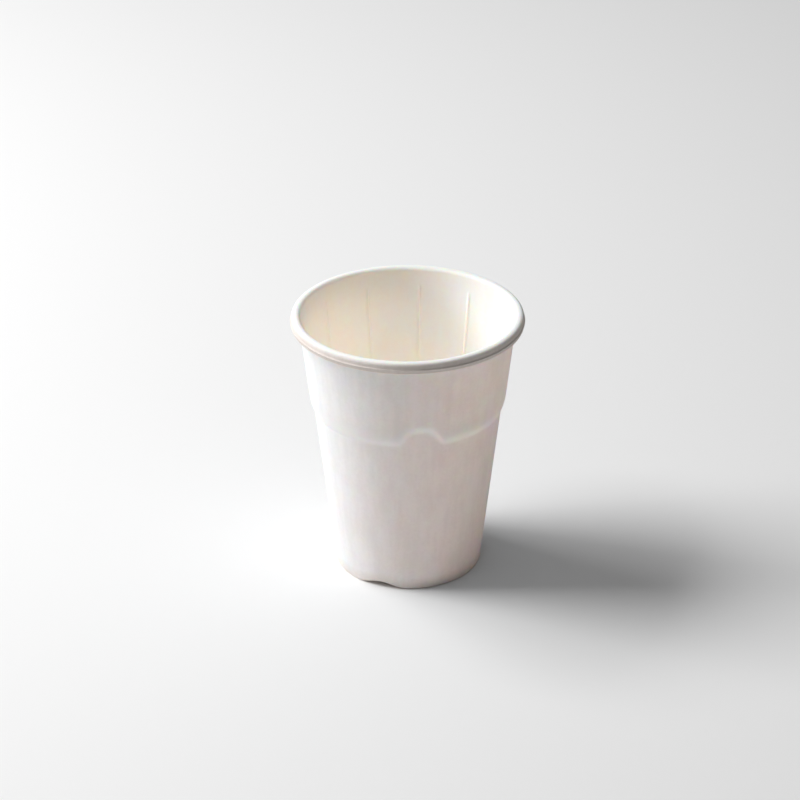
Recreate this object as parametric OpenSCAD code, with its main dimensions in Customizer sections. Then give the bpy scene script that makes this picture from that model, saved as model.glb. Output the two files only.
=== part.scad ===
// Disposable coffee cup pressed in one piece from plant fibre pulp.
// The origin is on the surface that the cup stands on, under the middle of its mouth.
// The front is at -Y, and angles are counted from there towards +X.

/* [Overall] */
// Height from the table to the top of the rim
cup_h = 94.3; // [80:0.1:120]
// Diameter over the ridge round the rim, the widest place
rim_d = 80; // [74:0.5:96]
// Diameter of the wall where it would meet the table
base_d = 50.6; // [44:0.1:60]
// Thickness of the pressed fibre
wall_t = 0.8; // [0.5:0.05:1.1]

/* [Rim] */
// How far the rolled rim stands out past the wall
rim_overhang = 3.1; // [2.3:0.05:4]
// Height of the rolled rim from its lower edge to its top
rim_h = 3.9; // [3.5:0.1:5]
// Height of the rounded top of the rim
crown_h = 1.6; // [1.2:0.1:1.8]
// Shape of the top of the rim, 1 for a round one and less for a flatter one
crown_square = 0.85; // [0.5:0.05:1]
// Height of the trimming ridge above the lower edge of the rim
ridge_up = 1.5; // [0.8:0.1:1.9]
// How far the trimming ridge stands out
ridge_out = 0.3; // [0.1:0.05:0.4]
// Height of the trimming ridge where it leaves the rim
ridge_w = 0.6; // [0.3:0.1:0.8]

/* [Grip band] */
// Height of the lower edge of the step where it runs low
step_low = 59.7; // [40:0.1:66]
// How far the step rises at each wave
wave_rise = 5.4; // [0:0.1:9]
// Number of waves round the cup
wave_count = 2; // [1:1:8]
// Angle over which a wave stays at its full height
wave_crest = 8.5; // [2:0.5:16]
// Angle over which a wave climbs to its full height
wave_ramp = 10; // [5:0.5:14]
// How far the wall above the step stands out past the wall below it
step_out = 0.95; // [0.4:0.05:1.8]
// Height over which the outside swells out at the step
step_h = 6; // [3:0.1:9]
// Height over which the inside swells out behind the step
inner_step_h = 10; // [4:0.1:12]

/* [Ribs inside] */
// Number of ribs, which keep stacked cups from sticking
rib_count = 12; // [6:1:12]
// Width of a rib where it leaves the wall
rib_w = 1.5; // [0.8:0.1:3]
// How far a rib stands in from the wall
rib_in = 0.35; // [0.2:0.05:0.8]
// Distance from the top of the rim to the upper end of a rib
rib_drop = 6; // [4.5:0.5:12]
// Length over which the upper end of a rib fades out
rib_fade = 1.2; // [0.5:0.1:3]

/* [Foot and floor] */
// Width of the folded foot that the cup stands on
foot_w = 3.4; // [3:0.1:5]
// Radius of the two edges of the foot
foot_round = 0.6; // [0.5:0.1:1.4]
// Height of the underside of the floor above the table
floor_up = 4.4; // [4.1:0.1:8]
// Radius of the corner between the underside and the foot
floor_round = 0.8; // [0.3:0.1:1.1]
// Number of arches in the foot, which let steam and water out
arch_count = 3; // [2:1:6]
// Angle over which an arch spans
arch_span = 44; // [20:1:56]
// How far an arch lifts the foot off the table
arch_rise = 2; // [0:0.1:2.4]

/* [Hidden] */
fibre_colour = "#f4efe6";

rim_r = rim_d / 2;
base_r = base_d / 2;
lip_r = rim_r - ridge_out;
wall_top = cup_h - rim_h;
// The wall leans out evenly, and both of its lengths lean alike
lean = (rim_r - rim_overhang - step_out - base_r) / wall_top;
lean_angle = atan(lean);
// Thickness of the wall measured level
wall_level = wall_t / cos(lean_angle);

// Largest share of the channel's side that its upper corner may take
floor_wall = 0.8;

// Places round the cup
wave_pitch = 360 / wave_count;
rib_pitch = 360 / rib_count;
arch_pitch = 360 / arch_count;
rib_start = rib_pitch / 2;
arch_start = -arch_pitch / 4;

// Angle from the middle of a rib to its edge
rib_edge = atan(rib_w / 2 / (base_r + lean * step_low));
// Places between two ribs at which the section is taken too, as shares of the gap
between = [0.16, 0.27, 0.37];

// Number of pieces in each curved stretch of the section
step_rows = 5;
crown_rows = 6;
round_rows = 3;
edge_rows = 2;

// Soft start and soft end between 0 and 1
function eased(t) =
    let (x = max(0, min(1, t)))
    x * x * (3 - 2 * x);

// Angle to the nearest of evenly spaced places
function angle_from(angle, start, pitch) =
    let (turned = (angle - start) % pitch)
    min(abs(turned), pitch - abs(turned));

// Crease at the start and a soft end between 0 and 1
function swollen(t) =
    let (x = max(0, min(1, t)))
    1 - pow(1 - x, 3);

// Height of the lower edge of the step at one angle
function step_z(angle) =
    let (past_crest = angle_from(angle, 0, wave_pitch) - wave_crest / 2)
    step_low + wave_rise * (1 - eased(past_crest / wave_ramp));

// How far the foot is off the table at one angle
function foot_z(angle) =
    let (reach = angle_from(angle, arch_start, arch_pitch) / (arch_span / 2))
    reach < 1 ? arch_rise * pow(cos(90 * reach), 2) : 0;

// Radius of the outside of the wall, without and with the step
function plain_r(z) = base_r + lean * z;
function outside_r(angle, z) = plain_r(z) + step_out * swollen((z - step_z(angle)) / step_h);

// Height at which the inside starts to swell out, and its radius
function inner_step_z(angle) = step_z(angle) + (step_h - inner_step_h) / 2;
function inside_r(angle, z) =
    plain_r(z) - wall_level + step_out * eased((z - inner_step_z(angle)) / inner_step_h);

// Share of a rib's height that stands at one angle, 1 along its middle
function rib_share(angle) = max(0, 1 - angle_from(angle, rib_start, rib_pitch) / rib_edge);

// Points on part of an ellipse
function bend(middle, size, first, last, rows) = [
    for (i = [0:rows])
        let (turn = first + (last - first) * i / rows)
        [middle[0] + size[0] * cos(turn), middle[1] + size[1] * sin(turn)]
];

// Points over the top of the rim, from outside to inside, flatter than an ellipse
function crown(middle, size, rows) = [
    for (i = [0:rows])
        let (x = cos(180 * i / rows), z = sin(180 * i / rows))
        middle + [size[0] * sign(x) * pow(abs(x), crown_square), size[1] * pow(abs(z), crown_square)]
];

// Underside of the floor from its edge, and down the inside of the foot
function underside(angle) =
    bend([base_r - foot_w - floor_round, floor_up - floor_round],
         [floor_round, floor_round], 90, 0, edge_rows);

// The fold that the cup stands on
function foot(angle) =
    let (
        z = foot_z(angle),
        inner_r = base_r - foot_w + foot_round,
        outer_mid = plain_r(z + foot_round) - foot_round / cos(lean_angle)
    )
    concat(
        bend([inner_r, z + foot_round], [foot_round, foot_round], 180, 270, round_rows),
        bend([outer_mid, z + foot_round], [foot_round, foot_round], 270, 360 - lean_angle, round_rows)
    );

// Outside of the wall: the plain lower length, the step and the band up to the rim
function outside(angle) =
    concat(
        [for (i = [0:step_rows])
            let (z = step_z(angle) + step_h * i / step_rows)
            [outside_r(angle, z), z]],
        [[plain_r(wall_top) + step_out, wall_top]]
    );

// Rolled rim: the groove behind it, its lower edge, the trimming ridge and the crown
function rim() =
    let (
        edge = wall_t / 2,
        groove_in = plain_r(cup_h - crown_h) + step_out,
        groove_out = lip_r - wall_t,
        groove_mid = (groove_in + groove_out) / 2,
        crown_in = plain_r(cup_h - crown_h) + step_out - wall_level,
        crown_mid = (crown_in + lip_r) / 2,
        ridge_z = wall_top + ridge_up
    )
    concat(
        bend([groove_mid, cup_h - crown_h], [groove_mid - groove_in, crown_h - wall_t],
             180, 0, edge_rows),
        bend([lip_r - edge, wall_top + edge], [edge, edge], 180, 360, edge_rows),
        [[lip_r, ridge_z - ridge_w / 2], [rim_r, ridge_z], [lip_r, ridge_z + ridge_w / 2]],
        crown([crown_mid, cup_h - crown_h], [lip_r - crown_mid, crown_h], crown_rows)
    );

// Inside of the wall with its ribs, down past the step
function inside(angle) =
    let (
        rib = rib_in * rib_share(angle),
        rib_z = cup_h - rib_drop
    )
    concat(
        [[inside_r(angle, rib_z), rib_z]],
        [[inside_r(angle, rib_z - rib_fade) - rib, rib_z - rib_fade]],
        [for (i = [step_rows:-1:0])
            let (left = i / step_rows, z = inner_step_z(angle) + inner_step_h * left)
            [inside_r(angle, z) - rib * left, z]]
    );

// The channel inside the foot, and the edge of the floor
function channel(angle) =
    let (
        z = foot_z(angle) + wall_t,
        inner_r = base_r - foot_w + wall_t,
        outer_r = plain_r(z) - wall_level,
        half = (outer_r - inner_r) / 2,
        top = floor_up + wall_t,
        corner = min(floor_round + wall_t, floor_wall * (top - z - half))
    )
    concat(
        bend([inner_r + half, z + half], [half, half], 0, -180, round_rows),
        bend([inner_r - corner, top - corner], [corner, corner], 0, 90, edge_rows)
    );

// The whole section at one angle, round from under the floor to the top of the floor
function section(angle) = concat(
    underside(angle), foot(angle), outside(angle), rim(), inside(angle), channel(angle)
);

// Angles at which the section is taken, from the middle of one rib to the next
steps = concat([0, rib_edge], between * rib_pitch, [rib_pitch / 2],
               [for (i = [len(between) - 1:-1:0]) (1 - between[i]) * rib_pitch],
               [rib_pitch - rib_edge]);
angles = [for (i = [0:rib_count - 1]) for (step = steps) rib_start + i * rib_pitch + step];

module cup() {
    turns = len(angles);
    rows = len(section(0));
    under = turns * rows;
    top = under + 1;
    points = concat(
        [for (a = angles) for (p = section(a)) [p[0] * sin(a), -p[0] * cos(a), p[1]]],
        [[0, 0, floor_up], [0, 0, floor_up + wall_t]]
    );
    skin = [
        for (i = [0:turns - 1])
            let (here = i * rows, next = ((i + 1) % turns) * rows)
            for (j = [0:rows - 2])
                each [
                    [here + j, here + j + 1, next + j + 1],
                    [here + j, next + j + 1, next + j]
                ]
    ];
    middles = [
        for (i = [0:turns - 1])
            let (here = i * rows, next = ((i + 1) % turns) * rows)
            each [
                [under, here, next],
                [top, next + rows - 1, here + rows - 1]
            ]
    ];
    color(fibre_colour) polyhedron(points, concat(skin, middles), convexity = 6);
}

cup();
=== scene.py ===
from math import atan, copysign, cos, degrees, pi, radians, sin

import bpy
from mathutils import Euler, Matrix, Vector


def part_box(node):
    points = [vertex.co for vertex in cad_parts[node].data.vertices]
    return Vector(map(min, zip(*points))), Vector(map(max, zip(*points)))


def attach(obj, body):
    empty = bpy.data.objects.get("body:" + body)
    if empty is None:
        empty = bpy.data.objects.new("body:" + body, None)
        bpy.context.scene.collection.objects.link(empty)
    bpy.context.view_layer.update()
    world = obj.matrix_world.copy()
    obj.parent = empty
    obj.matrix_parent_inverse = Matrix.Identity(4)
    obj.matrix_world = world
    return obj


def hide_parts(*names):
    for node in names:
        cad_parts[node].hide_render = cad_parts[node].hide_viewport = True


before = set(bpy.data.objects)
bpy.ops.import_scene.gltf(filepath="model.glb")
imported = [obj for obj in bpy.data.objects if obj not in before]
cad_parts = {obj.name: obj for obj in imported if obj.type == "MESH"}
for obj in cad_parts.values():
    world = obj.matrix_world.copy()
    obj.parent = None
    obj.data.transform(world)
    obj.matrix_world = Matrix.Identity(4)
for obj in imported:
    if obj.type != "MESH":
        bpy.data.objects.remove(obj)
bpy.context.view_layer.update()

# The camera stands well back with a long lens and looks down on the cup. A wave of the
# cup's step faces the front, and the camera is turned a little to the left of it, so that
# one wave shows right of the middle and an arch of the foot left of it.
camera_heading = radians(-8.1)
camera_pitch = radians(27.91)
camera_roll = radians(0.17)
camera_distance = 1.042
image_size = 800
focal_pixels = 3000
aimed_at = Vector((0, 0, 0.046))
aimed_pixel = (407.8, 437.9)


def towards(heading, pitch):
    """Points from the cup to the front, turned to the right and raised by these angles."""
    return Vector((sin(heading) * cos(pitch), -cos(heading) * cos(pitch), sin(pitch)))


camera_data = bpy.data.cameras.new("camera")
camera_data.sensor_width = 36
camera_data.lens = camera_data.sensor_width * focal_pixels / image_size
camera = bpy.data.objects.new("camera", camera_data)
bpy.context.scene.collection.objects.link(camera)
bpy.context.scene.camera = camera

back = towards(camera_heading, camera_pitch)
middle = image_size / 2
sight = Vector((aimed_pixel[0] - middle, middle - aimed_pixel[1], -focal_pixels))
camera.location = aimed_at + back * camera_distance
camera.rotation_mode = "QUATERNION"
camera.rotation_quaternion = (
    back.to_track_quat("Z", "Y")
    @ sight.rotation_difference(Vector((0, 0, -1)))
    @ Euler((0, 0, -camera_roll)).to_quaternion()
)

# The cup is one piece of plant fibre pulp, sucked on to a wire mould as a wet mat, pressed
# dry between two heated moulds and trimmed round the rim. The wall, the rolled rim, the
# wavy step, the ribs, the foot and the floor are all the same sheet. Its sizes are those of
# the solid, in metres.
_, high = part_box("cup")
cup_h = high.z
rim_r = high.x
base_r = 0.0253
wall = 0.0008
rim_overhang = 0.0031
rim_h = 0.0039
crown_h = 0.0016
crown_square = 0.85
ridge_up = 0.0015
ridge_out = 0.0003
ridge_w = 0.0006
step_low = 0.0597
step_out = 0.00095
step_h = 0.006
inner_step_h = 0.01
wave_rise = 0.0054
wave_count = 2
wave_crest = radians(8.5)
wave_ramp = radians(10)
rib_count = 12
rib_w = 0.0015
rib_in = 0.00035
rib_top = cup_h - 0.006
rib_fade = 0.0012
foot_w = 0.0034
foot_round = 0.0006
floor_up = 0.0044
floor_round = 0.0008
arch_count = 3
arch_span = radians(44)
arch_rise = 0.002
# Height up the wall at which the lift of an arch has faded out
arch_reach = 0.016

lip_r = rim_r - ridge_out
wall_top = cup_h - rim_h
lean = (rim_r - rim_overhang - step_out - base_r) / wall_top
lean_angle = atan(lean)
wall_level = wall / cos(lean_angle)
step_from = step_low + step_h / 2 - inner_step_h / 2
step_to = step_low + step_h / 2 + wave_rise + inner_step_h / 2
# Height at which the inside of the wall ends, over the channel in the foot
inner_end = 4 * wall

# Distances between the rows of the section, and rows in each of its bends
rows_close = 0.0006
rows_apart = 0.004
corner_rows = 5
foot_rows = 7
rim_rows = 10
ridge_rows = 8
crown_rows = 24
channel_rows = 8
floor_rows = 6


def plain_r(z):
    """Outer radius of the wall with no step in it."""
    return base_r + lean * z


def bend(centre, size, first, last, rows):
    """Points on part of an ellipse, from the first angle to the last in degrees."""
    turns = [radians(first + (last - first) * i / rows) for i in range(rows + 1)]
    return [(centre[0] + size[0] * cos(t), centre[1] + size[1] * sin(t)) for t in turns]


def crown(centre, size, rows):
    """Points over the rim's top, from outside to inside, flatter than an ellipse."""
    turns = [bend((0, 0), (1, 1), 180 * i / rows, 0, 1)[0] for i in range(rows + 1)]
    return [
        (
            centre[0] + size[0] * copysign(abs(x) ** crown_square, x),
            centre[1] + size[1] * abs(z) ** crown_square,
        )
        for x, z in turns
    ]


def line(start, end, gap):
    """Points after the start up to the end, about a gap apart."""
    rows = max(1, round((Vector(end) - Vector(start)).length / gap))
    return [tuple(Vector(start).lerp(Vector(end), (i + 1) / rows)) for i in range(rows)]


def wall_line(heights, gap, inset=0):
    """Points on the wall's outer face, or set in from it, between two heights."""
    return [(plain_r(z) - inset, z) for _, z in line((0, heights[0]), (0, heights[1]), gap)]


def underside_section():
    """From the middle of the floor's underside to the corner at the foot."""
    corner = (base_r - foot_w - floor_round, floor_up - floor_round)
    middle_out = [(0, floor_up)] + line((0, floor_up), (corner[0], floor_up), rows_apart)
    return middle_out[:-1] + bend(corner, (floor_round, floor_round), 90, 0, corner_rows)


def foot_section():
    """Round the fold that the cup stands on."""
    size = (foot_round, foot_round)
    outer_mid = plain_r(foot_round) - foot_round / cos(lean_angle)
    upright = 360 - degrees(lean_angle)
    inner = bend((base_r - foot_w + foot_round, foot_round), size, 180, 270, foot_rows)
    return inner + bend((outer_mid, foot_round), size, 270, upright, foot_rows)


def outer_section():
    """Up the outside of the wall to the rim."""
    return (
        wall_line((foot_round, step_from), rows_apart)
        + wall_line((step_from, step_to), rows_close)
        + wall_line((step_to, wall_top), rows_apart)
    )


def rim_section():
    """Up behind the rolled rim, round its lower edge, over the trimming ridge and the crown."""
    crown_z = cup_h - crown_h
    lip = lip_r - step_out
    edge = wall / 2
    groove_in = plain_r(crown_z)
    groove_half = (lip - wall - groove_in) / 2
    groove_mid = (groove_in + groove_half, crown_z)
    crown_half = (lip - groove_in + wall_level) / 2
    return (
        bend(groove_mid, (groove_half, crown_h - wall), 180, 0, rim_rows)
        + bend((lip - edge, wall_top + edge), (edge, edge), 180, 360, rim_rows)
        + bend((lip, wall_top + ridge_up), (ridge_out, ridge_w / 2), -90, 90, ridge_rows)
        + crown((lip - crown_half, crown_z), (crown_half, crown_h), crown_rows)
    )


def inner_section():
    """Down the inside of the wall, closest where the ribs begin and round the step."""
    stops = [cup_h - crown_h, rib_top, rib_top - rib_fade, step_to, step_from, inner_end]
    gaps = [2 * rows_close, rows_close / 2, rows_apart / 2, rows_close, rows_apart]
    parts = [wall_line(ends, gap, wall_level) for *ends, gap in zip(stops, stops[1:], gaps)]
    return [point for part in parts for point in part]


def channel_section():
    """Round the channel inside the foot and in to the middle of the floor."""
    channel_in = base_r - foot_w + wall
    half = (plain_r(wall) - wall_level - channel_in) / 2
    corner = floor_round + wall
    top = floor_up + wall
    return (
        bend((channel_in + half, wall + half), (half, half), 0, -180, channel_rows)
        + bend((channel_in - corner, top - corner), (corner, corner), 0, 90, floor_rows)
        + line((channel_in - corner, top), (0, top), rows_apart)
    )


def share(value, none, full):
    """0 on one side of a stretch, 1 on the other, even between."""
    return min(1, max(0, (value - none) / (full - none)))


def folded_share(r, z):
    """1 on the outermost face of the lip and along the lower edge of the foot, which get painted
    shade.
    """
    lip = lip_r - step_out
    on_lip = share(r, lip - wall, lip) * share(z, wall_top, wall_top + wall / 2)
    return max(on_lip, share(z, 2 * foot_round, foot_round / 2))


# An arch lifts the foot and fades out up the wall, so each point has its share of the lift.
# Ribs stand on the inside alone, and the inner surface begins at the groove behind the rim.
leg_top = floor_up - floor_round
floor_top = floor_up + wall
stretches = [
    (underside_section(), leg_top, 0, 0),
    (foot_section() + outer_section(), arch_reach, 0, 0),
    (rim_section(), arch_reach, 0, 1),
    (inner_section(), arch_reach, 1, 1),
    (channel_section(), floor_top, 0, 1),
]
section = [
    (
        r,
        z,
        share(z, faded, foot_round),
        ribbed * share(z, rib_top, rib_top - rib_fade),
        inner,
        folded_share(r, z),
    )
    for points, faded, ribbed, inner in stretches
    for r, z in points
]


class Wire:
    """A node's output, on which sums are written as plain arithmetic."""

    def __init__(self, tree, socket=None):
        self.tree, self.socket = tree, socket

    def node(self, kind, settings=None, inputs=None, out=0):
        """Adds a node: its settings first, then the values or wires of its sockets."""
        made = self.tree.nodes.new(kind)
        for name, value in (settings or {}).items():
            setattr(made, name, value)
        for name, value in (inputs or {}).items():
            if isinstance(value, Wire):
                self.tree.links.new(value.socket, made.inputs[name])
            else:
                made.inputs[name].default_value = value
        return Wire(self.tree, made.outputs[out])

    def maths(self, operation, *others):
        """A Math node with this wire as its first value."""
        values = dict(enumerate([self, *others]))
        return self.node("ShaderNodeMath", {"operation": operation}, values)

    def __add__(self, other):
        return self.maths("ADD", other)

    def __sub__(self, other):
        return self.maths("SUBTRACT", other)

    def __rsub__(self, other):
        return self.node("ShaderNodeMath", {"operation": "SUBTRACT"}, {0: other, 1: self})

    def __mul__(self, other):
        return self.maths("MULTIPLY", other)

    def __truediv__(self, other):
        return self.maths("DIVIDE", other)

    def __rtruediv__(self, other):
        return self.node("ShaderNodeMath", {"operation": "DIVIDE"}, {0: other, 1: self})

    def __mod__(self, other):
        return self.maths("FLOORED_MODULO", other)

    def __pow__(self, other):
        return self.maths("POWER", other)

    def eased(self, none, full):
        """0 at none, 1 at full, with a soft start and a soft end."""
        ends = {"Value": self, "From Min": none, "From Max": full}
        return self.node("ShaderNodeMapRange", {"interpolation_type": "SMOOTHSTEP"}, ends)


def angle_from(angle, start, pitch):
    """Angle to the nearest of evenly spaced places."""
    return (angle - start).maths("PINGPONG", pitch / 2)


# The tree takes the section as loose points and carries it round the axis
press_sizes = {
    "Rows": len(section),
    "Columns a rib": 30,
    "Ribs": rib_count,
    "Rib width": rib_w,
    "Rib height": rib_in,
    "Waves": wave_count,
    "Wave crest": wave_crest,
    "Wave ramp": wave_ramp,
    "Wave rise": wave_rise,
    "Step low": step_low,
    "Step height": step_h,
    "Inner step height": inner_step_h,
    "Step out": step_out,
    "Arches": arch_count,
    "Arch span": arch_span,
    "Arch rise": arch_rise,
    "Lean": lean,
}


def press_tree():
    """Geometry nodes that turn the section into the pressed cup."""
    tree = bpy.data.node_groups.new("fibre_press", "GeometryNodeTree")
    sockets = {}
    tree.interface.new_socket("Section", in_out="INPUT", socket_type="NodeSocketGeometry")
    for name in [*press_sizes, "Material"]:
        kind = "NodeSocketMaterial" if name == "Material" else "NodeSocketFloat"
        sockets[name] = tree.interface.new_socket(name, in_out="INPUT", socket_type=kind)
    tree.interface.new_socket("Cup", in_out="OUTPUT", socket_type="NodeSocketGeometry")
    given = tree.nodes.new("NodeGroupInput")
    start = Wire(tree)
    size = {name: Wire(tree, given.outputs[name]) for name in ["Section", *sockets]}

    # Columns lie close together over each rib and further apart between the ribs. The crowding
    # is how far apart they lie on a rib, as a share of even spacing.
    rows = size["Rows"]
    crowding = 0.16
    columns = size["Columns a rib"] * size["Ribs"] + 1
    grid = start.node("GeometryNodeMeshGrid", None, {"Vertices X": columns, "Vertices Y": rows})
    index = start.node("GeometryNodeInputIndex")
    row = index % rows
    column = (index / rows).maths("FLOOR")
    rib_pitch = 2 * pi / size["Ribs"]
    rib = (column / size["Columns a rib"]).maths("FLOOR")
    across = (column % size["Columns a rib"]) / size["Columns a rib"] * 2 - 1
    turn = (across * crowding + across ** 3 * (1 - crowding)) / 2
    angle = (rib + 1 + turn) * rib_pitch - rib_pitch / 2

    def sampled(kind, field):
        settings = {"data_type": kind, "domain": "POINT"}
        inputs = {"Geometry": size["Section"], "Value": field, "Index": row}
        return start.node("GeometryNodeSampleIndex", settings, inputs)

    def named(name):
        settings = {"data_type": "FLOAT"}
        field = start.node("GeometryNodeInputNamedAttribute", settings, {"Name": name})
        return sampled("FLOAT", field)

    place = sampled("FLOAT_VECTOR", start.node("GeometryNodeInputPosition"))
    section_r = place.node("ShaderNodeSeparateXYZ", None, {0: place}, "X")
    section_z = place.node("ShaderNodeSeparateXYZ", None, {0: place}, "Z")

    # The foot rises into its arches along the slope of the wall. The first arch lies a quarter
    # of their pitch to the left of the front.
    arch_pitch = 2 * pi / size["Arches"]
    from_arch = angle_from(angle, arch_pitch / -4, arch_pitch)
    reach = (from_arch / size["Arch span"] * 2).maths("MINIMUM", 1)
    lift = (reach * (pi / 2)).maths("COSINE") ** 2 * size["Arch rise"] * named("arch")

    # The wall swells out at the step, which rises to a crest at each wave. Outside it starts
    # with a crease and eases out above, and inside it is softer and even.
    wave_pitch = 2 * pi / size["Waves"]
    past_crest = angle_from(angle, 0, wave_pitch) - size["Wave crest"] / 2
    crest = 1 - past_crest.eased(0, size["Wave ramp"])
    above = section_z - size["Step low"] - size["Wave rise"] * crest
    part = (above / size["Step height"]).maths("MAXIMUM", 0).maths("MINIMUM", 1)
    swell = 1 - (1 - part) ** 3
    half = size["Inner step height"] / 2
    soft = (above - size["Step height"] / 2).eased(half * -1, half)
    band = swell + (soft - swell) * named("inner")

    # The ribs stand in from the grip band and end at the step. The floor's middle has no
    # radius to take a rib's angle from, so the angle counts from a small one.
    least_r = 0.01
    from_rib = angle_from(angle, rib_pitch / 2, rib_pitch)
    rib_edge = (size["Rib width"] / 2 / section_r.maths("MAXIMUM", least_r)).maths("ARCTANGENT")
    rib_share = 1 - from_rib.eased(0, rib_edge)
    rib_depth = size["Rib height"] * rib_share * named("rib") * band

    r = section_r + size["Step out"] * band + size["Lean"] * lift - rib_depth
    z = section_z + lift
    spot = start.node(
        "ShaderNodeCombineXYZ",
        None,
        {"X": r * angle.maths("SINE"), "Y": r * angle.maths("COSINE") * -1, "Z": z},
    )
    # Painted highlight: the outside is paler at the lower edge of the step and fades out above
    edge_blur = 0.0015
    painted_step_highlight = above.eased(-edge_blur, edge_blur) * (1 - part)
    kept = grid
    for name, field in (("inner", named("inner")), ("fold", named("fold")), ("painted_step_highlight", painted_step_highlight)):
        kept = start.node(
            "GeometryNodeStoreNamedAttribute",
            {"data_type": "FLOAT", "domain": "POINT"},
            {"Geometry": kept, "Name": name, "Value": field},
        )
    shaped = start.node("GeometryNodeSetPosition", None, {"Geometry": kept, "Position": spot})
    seams = {"Geometry": shaped, "Distance": 1e-6}
    closed = start.node("GeometryNodeMergeByDistance", None, seams)
    smooth = start.node("GeometryNodeSetShadeSmooth", None, {"Geometry": closed})
    real = start.node("GeometryNodeRealizeInstances", None, {"Geometry": smooth})
    finished = {"Geometry": real, "Material": size["Material"]}
    dressed = start.node("GeometryNodeSetMaterial", None, finished)
    leaving = tree.nodes.new("NodeGroupOutput")
    tree.links.new(dressed.socket, leaving.inputs["Cup"])
    return tree, {name: socket.identifier for name, socket in sockets.items()}


def fibre_material():
    """Hot pressed plant fibre: matt warm white with a felted grain."""
    material = bpy.data.materials.new("pressed_fibre")
    material.use_nodes = True
    tree = material.node_tree
    tree.nodes.clear()
    start = Wire(tree)
    place = start.node("ShaderNodeTexCoord", out="Object")

    def noise(scale, detail, roughness=0.5, vector=place):
        inputs = {"Vector": vector, "Scale": scale, "Detail": detail, "Roughness": roughness}
        return start.node("ShaderNodeTexNoise", None, inputs)

    def stored(name):
        return start.node("ShaderNodeAttribute", {"attribute_name": name}, out="Fac")

    def blend(factor, first, second):
        colour_in, other_colour_in, colour_out = 6, 7, 2
        inputs = {"Factor": factor, colour_in: first, other_colour_in: second}
        return start.node("ShaderNodeMix", {"data_type": "RGBA"}, inputs, colour_out)

    # The mat is cloudy, felted up close, and drawn into faint upright streaks by the mould
    stretched = {0: place, 1: (1, 1, 0.1)}
    upright = start.node("ShaderNodeVectorMath", {"operation": "MULTIPLY"}, stretched)
    cloud = noise(scale=110, detail=3)
    streaks = noise(scale=420, detail=2, vector=upright)
    felt = noise(scale=900, detail=5, roughness=0.6)
    tone = (cloud * 0.35 + streaks * 0.35 + felt * 0.3).eased(0.38, 0.62)

    even = blend(tone, (0.768, 0.782, 0.80, 1), (0.816, 0.83, 0.85, 1))
    # Painted highlight: the outside is paler along the lower edge of the step
    outside = blend(stored("painted_step_highlight"), even, (0.875, 0.887, 0.905, 1))
    # Painted light: the inside is paler and warmer than the outside, for light bouncing inside
    inside = blend(tone, (0.994, 0.936, 0.87, 1), (0.999, 0.967, 0.922, 1))
    # Painted shade on the lip's outer face, and a painted contact shadow on the foot's edge
    folded = blend(tone, (0.72, 0.65, 0.605, 1), (0.77, 0.70, 0.655, 1))
    faces = blend(stored("inner"), outside, inside)

    # The felted grain has fine strands in it
    strands = (noise(scale=1300, detail=4, roughness=0.55) * 2 - 1).maths("ABSOLUTE")
    height = felt * 0.6 + strands * 0.4
    bump = {"Strength": 0.35, "Distance": 0.00012, "Height": height}
    grain = start.node("ShaderNodeBump", None, bump)

    # Light comes through the thin sheet, but not through the lip and the foot's edge, which
    # are pressed double. These are also painted darker and browner: painted shade on the lip's
    # outer face and a painted contact shadow along the foot's lower edge
    sheet, fold = (
        start.node(
            "ShaderNodeBsdfPrincipled",
            None,
            {
                "Base Color": colour,
                "Roughness": 0.82,
                "Specular IOR Level": 0.25,
                "Subsurface Weight": glow,
                "Subsurface Radius": (1, 0.65, 0.45),
                "Subsurface Scale": 0.0017,
                "Normal": grain,
            },
        )
        for colour, glow in ((faces, 1), (folded, 0))
    )
    shader = start.node("ShaderNodeMixShader", None, {0: stored("fold"), 1: sheet, 2: fold})
    output = tree.nodes.new("ShaderNodeOutputMaterial")
    tree.links.new(shader.socket, output.inputs["Surface"])
    return material


def pressed_cup():
    """The whole cup as one closed mesh."""
    mesh = bpy.data.meshes.new("cup_section")
    mesh.from_pydata([(r, 0, z) for r, z, *_ in section], [], [])
    for place, name in enumerate(("arch", "rib", "inner", "fold"), 2):
        shares = [point[place] for point in section]
        mesh.attributes.new(name, "FLOAT", "POINT").data.foreach_set("value", shares)
    cup = bpy.data.objects.new("pressed_cup", mesh)
    bpy.context.scene.collection.objects.link(cup)
    tree, sockets = press_tree()
    press = cup.modifiers.new("press", "NODES")
    press.node_group = tree
    for name, value in {**press_sizes, "Material": fibre_material()}.items():
        press[sockets[name]] = value if name == "Material" else float(value)
    graph = bpy.context.evaluated_depsgraph_get()
    cup.data = bpy.data.meshes.new_from_object(cup.evaluated_get(graph))
    cup.modifiers.clear()
    return cup


cup = pressed_cup()
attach(cup, "root")
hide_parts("cup")

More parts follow.
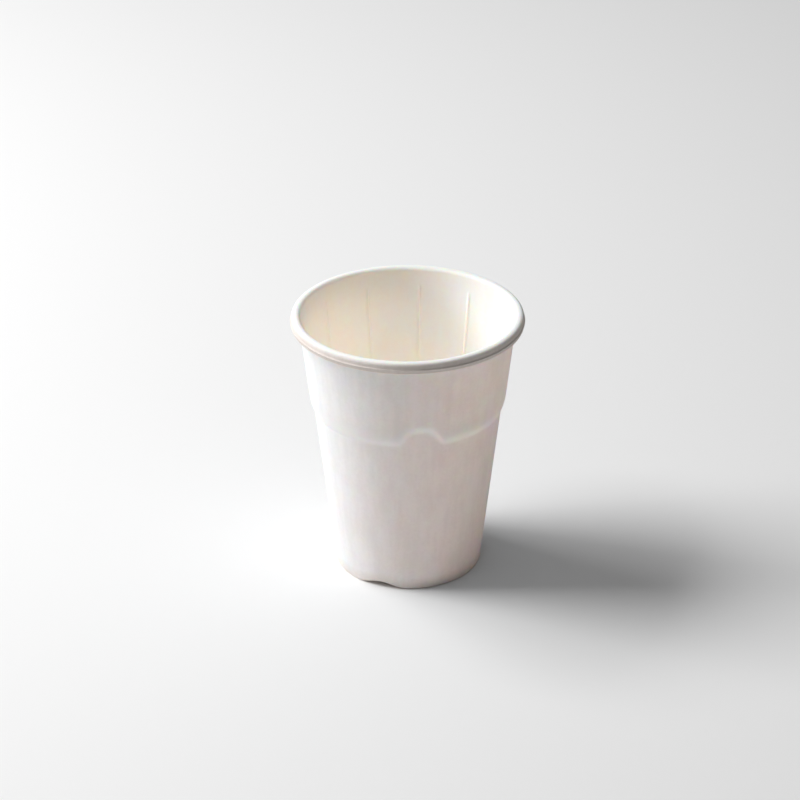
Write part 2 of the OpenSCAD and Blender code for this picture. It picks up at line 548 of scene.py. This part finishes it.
# The cup stands on a wide sheet of white board, which isn't part of it.
ground_size = 4
ground_corners = [
    (x * ground_size / 2, y * ground_size / 2, 0) for x, y in ((-1, -1), (1, -1), (1, 1), (-1, 1))
]
ground_mesh = bpy.data.meshes.new("ground")
ground_mesh.from_pydata(ground_corners, [], [(0, 1, 2, 3)])
ground = bpy.data.objects.new("ground", ground_mesh)
bpy.context.scene.collection.objects.link(ground)
board = bpy.data.materials.new("white_board")
board.use_nodes = True
board_shader = board.node_tree.nodes["Principled BSDF"]
board_shader.inputs["Base Color"].default_value = (0.87, 0.87, 0.87, 1)
board_shader.inputs["Roughness"].default_value = 1
board_shader.inputs["Specular IOR Level"].default_value = 0
ground_mesh.materials.append(board)

# Two softboxes stand on the left, a little behind the cup, in a room of dim even light. The
# high one is wide, and the low one reaches under it from further off. Their headings count
# from the camera's.
softboxes = (
    ("high_softbox", radians(-105), radians(52), 1.34, (0.9, 0.41), 11.55),
    ("low_softbox", radians(-98), radians(27.3), 1.62, (0.72, 0.59), 15.6),
)
for name, heading, height, distance, size, watts in softboxes:
    lamp_data = bpy.data.lights.new(name, "AREA")
    lamp_data.shape = "RECTANGLE"
    lamp_data.size, lamp_data.size_y = size
    lamp_data.energy = watts
    lamp = bpy.data.objects.new(name, lamp_data)
    bpy.context.scene.collection.objects.link(lamp)
    lamp_way = towards(heading + camera_heading, height)
    lamp.location = aimed_at + lamp_way * distance
    lamp.rotation_mode = "QUATERNION"
    lamp.rotation_quaternion = lamp_way.to_track_quat("Z", "Y")

# The room is dimmer round the sides than overhead, and looks like the white board when it is
# seen straight or mirrored.
room = bpy.data.worlds.new("room")
bpy.context.scene.world = room
room.use_nodes = True
room.node_tree.nodes.clear()
air = Wire(room.node_tree)
shown_room = 0.88
overhead_room = 0.45
way = air.node("ShaderNodeTexCoord", out="Generated")
up = air.node("ShaderNodeSeparateXYZ", None, {0: way}, "Z").maths("MAXIMUM", 0)
dim = up ** 2 * overhead_room
camera_ray, glossy_ray, clear_ray = (
    air.node("ShaderNodeLightPath", out=name)
    for name in ("Is Camera Ray", "Is Glossy Ray", "Is Transmission Ray")
)
shown = (camera_ray + glossy_ray + clear_ray).maths("MINIMUM", 1)
strength = shown * shown_room + (1 - shown) * dim
glow = air.node("ShaderNodeBackground", None, {"Color": (1, 1, 1, 1), "Strength": strength})
room_output = room.node_tree.nodes.new("ShaderNodeOutputWorld")
room.node_tree.links.new(glow.socket, room_output.inputs["Surface"])

bpy.context.scene.view_settings.view_transform = "Standard"
# The pale inside of the cup hands light to and fro many times
bpy.context.scene.cycles.diffuse_bounces = 16
bpy.context.scene.cycles.max_bounces = 24
